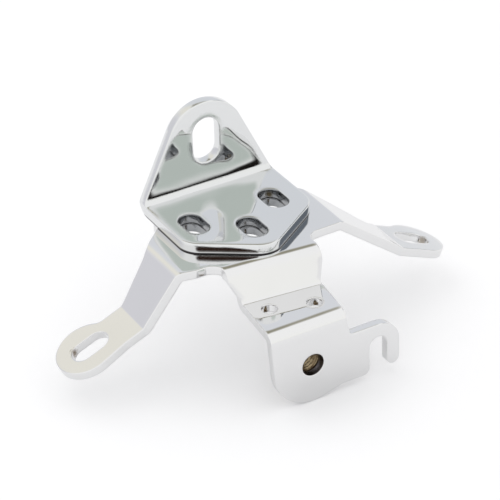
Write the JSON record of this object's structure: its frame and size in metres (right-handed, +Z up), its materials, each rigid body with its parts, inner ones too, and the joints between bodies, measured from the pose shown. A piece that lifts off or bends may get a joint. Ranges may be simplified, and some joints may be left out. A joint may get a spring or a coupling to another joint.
{
  "type": "engine mount bracket",
  "caption": "Chromed upper engine mount for a V-twin motorbike: a folded deck with slotted arms and a stepped hooked flange, under a bolt-on upright tab.",
  "frame": {"origin": "middle of the flange's bolt hole, on the flange's front face", "axes": "+X towards the right arm, +Y to the back, where the tab stands, +Z up, square to the deck"},
  "size_m": [0.1926, 0.0961, 0.1019],
  "materials": {
    "chrome_upper": "polished chrome",
    "chrome_base": "polished chrome",
    "bare_steel": "uncoated steel, browned"
  },
  "bodies": {
    "root": {"upper_bracket": "chrome_upper", "base_bracket": "chrome_base", "weld_nut": "bare_steel"}
  },
  "joints": []
}
